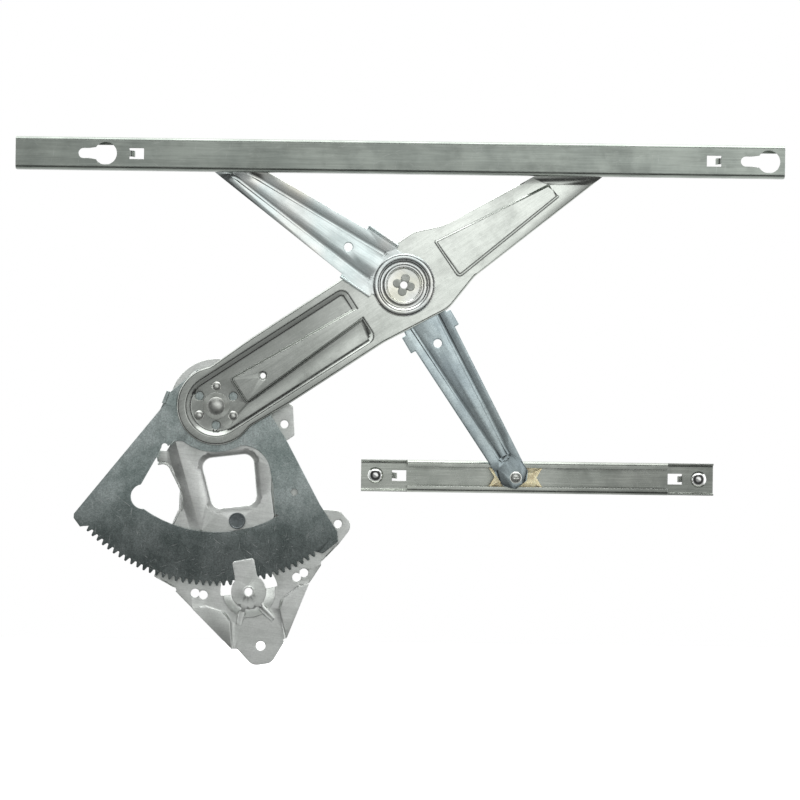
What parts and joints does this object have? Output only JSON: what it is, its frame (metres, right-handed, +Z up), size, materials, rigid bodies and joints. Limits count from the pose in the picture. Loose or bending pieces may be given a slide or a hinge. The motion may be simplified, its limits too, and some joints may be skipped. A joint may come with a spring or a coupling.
{
  "type": "window regulator",
  "caption": "Scissor window regulator: pressed base plate, toothed sector, lift arm crossed by a bent cross arm, and two lipped channels with glides.",
  "frame": {"origin": "centre of the base plate's lower bolt hole, in the plane of the face that lies on the door", "axes": "+X along the two channels to the right as seen from the side of the arms, +Z up, +Y into the door"},
  "size_m": [0.6363, 0.0616, 0.4384],
  "materials": {
    "zinc_plate": "satin zinc plated pressing",
    "sector_steel": "dark zinc plate with fine grain",
    "arm_steel": "bright rolled steel pressing",
    "cross_steel": "zinc plated, faint rainbow tint",
    "blue_zinc": "bluish zinc plate, fine spangle",
    "channel_steel": "satin rolled section",
    "guide_steel": "satin rolled section",
    "washer_steel": "staked steel",
    "bright_steel": "turned steel",
    "stud_steel": "turned steel stop",
    "polished_stud": "polished domed heads",
    "glide_nylon": "natural moulded nylon",
    "spacer_nylon": "natural nylon disc"
  },
  "bodies": {
    "base": {"base_plate": "zinc_plate", "sector_pivot_stud": "bright_steel", "pivot_washer": "washer_steel", "pivot_spacer": "spacer_nylon", "sector_stop_stud": "stud_steel"},
    "lift_arm": {"lift_arm": "arm_steel", "sector_gear": "sector_steel", "sector_rivets": "bright_steel", "lift_glide_pin": "bright_steel"},
    "cross_arm": {"cross_arm_upper": "cross_steel", "cross_arm_lower": "blue_zinc", "centre_rivet": "washer_steel", "cross_pin_upper": "bright_steel", "cross_pin_lower": "bright_steel"},
    "lift_glide": {"lift_glide": "glide_nylon"},
    "cross_glide_upper": {"cross_glide_upper": "glide_nylon"},
    "cross_glide_lower": {"cross_glide_lower": "glide_nylon"},
    "glass_channel": {"glass_channel": "channel_steel"},
    "guide_channel": {"guide_channel": "guide_steel", "guide_stud_left": "polished_stud", "guide_stud_right": "polished_stud"}
  },
  "joints": [
    {"name": "sector_pivot_hinge", "type": "hinge", "parent": "base", "child": "lift_arm", "pos_m": [-0.0393, 0, 0.2008], "axis": [0, -1, 0], "range_deg": [-14, 24]},
    {"name": "cross_arm_hinge", "type": "hinge", "parent": "lift_arm", "child": "cross_arm", "pos_m": [0.11622, 0, 0.30374], "axis": [0, -1, 0], "range_deg": [-48, 28]},
    {"name": "lift_glide_hinge", "type": "hinge", "parent": "lift_arm", "child": "lift_glide", "pos_m": [0.27466, 0, 0.4086], "axis": [0, -1, 0], "range_deg": [-24, 14]},
    {"name": "upper_glide_hinge", "type": "hinge", "parent": "cross_arm", "child": "cross_glide_upper", "pos_m": [-0.04222, 0, 0.4086], "axis": [0, -1, 0], "range_deg": [-14, 24]},
    {"name": "lower_glide_hinge", "type": "hinge", "parent": "cross_arm", "child": "cross_glide_lower", "pos_m": [0.21227, 0, 0.14388], "axis": [0, -1, 0], "range_deg": [-14, 24]},
    {"name": "glass_channel_slide", "type": "slide", "parent": "cross_glide_upper", "child": "glass_channel", "axis": [1, 0, 0], "range_m": [-0.033, 0.041]},
    {"name": "guide_channel_slide", "type": "slide", "parent": "cross_glide_lower", "child": "guide_channel", "axis": [1, 0, 0], "range_m": [-0.055, 0.075]}
  ],
  "couplings": [
    {"joint": "cross_arm_hinge", "follows": "sector_pivot_hinge", "ratio": -2},
    {"joint": "lift_glide_hinge", "follows": "sector_pivot_hinge", "ratio": -1},
    {"joint": "upper_glide_hinge", "follows": "sector_pivot_hinge", "ratio": 1},
    {"joint": "lower_glide_hinge", "follows": "sector_pivot_hinge", "ratio": 1}
  ]
}
